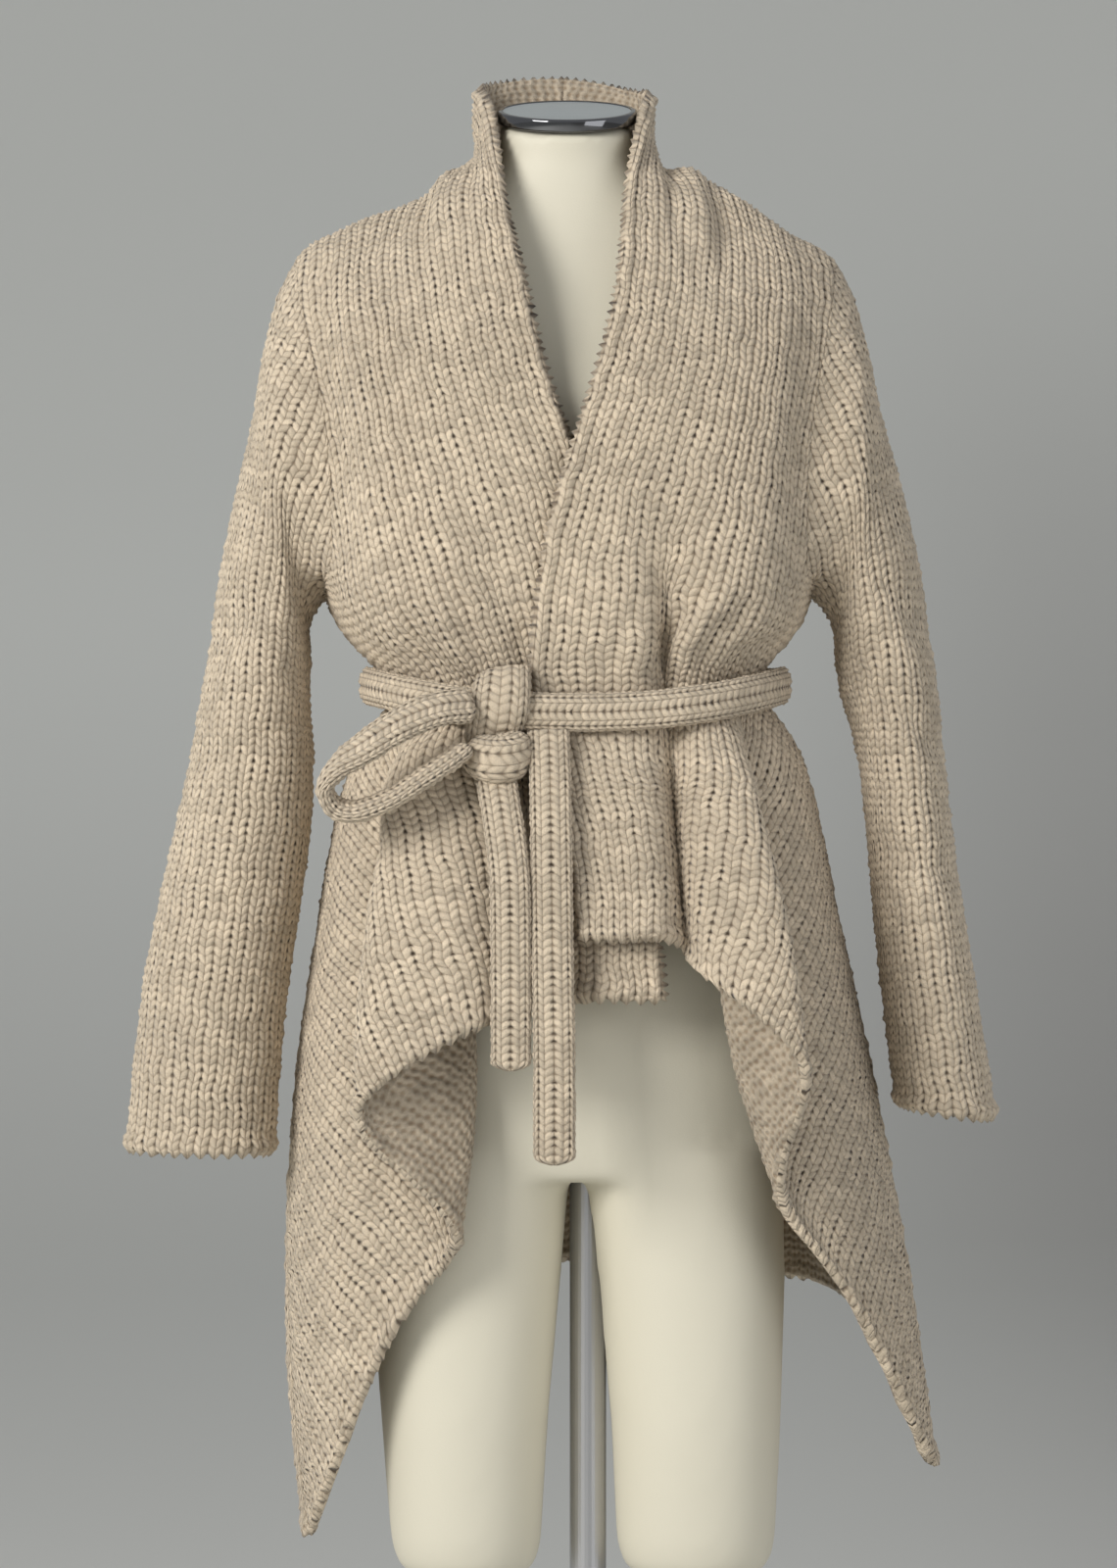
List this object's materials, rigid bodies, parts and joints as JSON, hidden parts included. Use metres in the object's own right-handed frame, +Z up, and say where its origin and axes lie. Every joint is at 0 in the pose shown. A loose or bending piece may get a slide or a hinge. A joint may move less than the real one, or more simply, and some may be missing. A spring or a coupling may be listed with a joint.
{
  "type": "buttonless wrap cardigan on a limbless dress form",
  "caption": "Hand-knit buttonless wrap cardigan with a standing collar, waterfall fronts and a knotted knitted belt, worn by a limbless dress form on a pole stand.",
  "frame": {"origin": "on the floor, under the middle of the dress form", "axes": "+Z up, the cardigan's front faces -Y, +X is the wearer's left"},
  "size_m": [0.6164, 0.38, 1.5461],
  "materials": {
    "knit": "chunky stockinette wool, matte",
    "form_shell": "smooth cream cover, matte",
    "bright_metal": "polished",
    "stand_steel": "satin"
  },
  "bodies": {
    "root": {"back_panel": "knit", "front_right": "knit", "front_left": "knit", "sleeve_right": "knit", "sleeve_left": "knit", "belt_band": "knit", "belt_knot_wrap": "knit", "belt_knot_turn": "knit", "belt_loop": "knit", "belt_tail_short": "knit", "belt_tail_long": "knit", "form_torso": "form_shell", "form_neck_cap": "bright_metal", "form_pole": "stand_steel", "form_base": "stand_steel"}
  },
  "joints": []
}
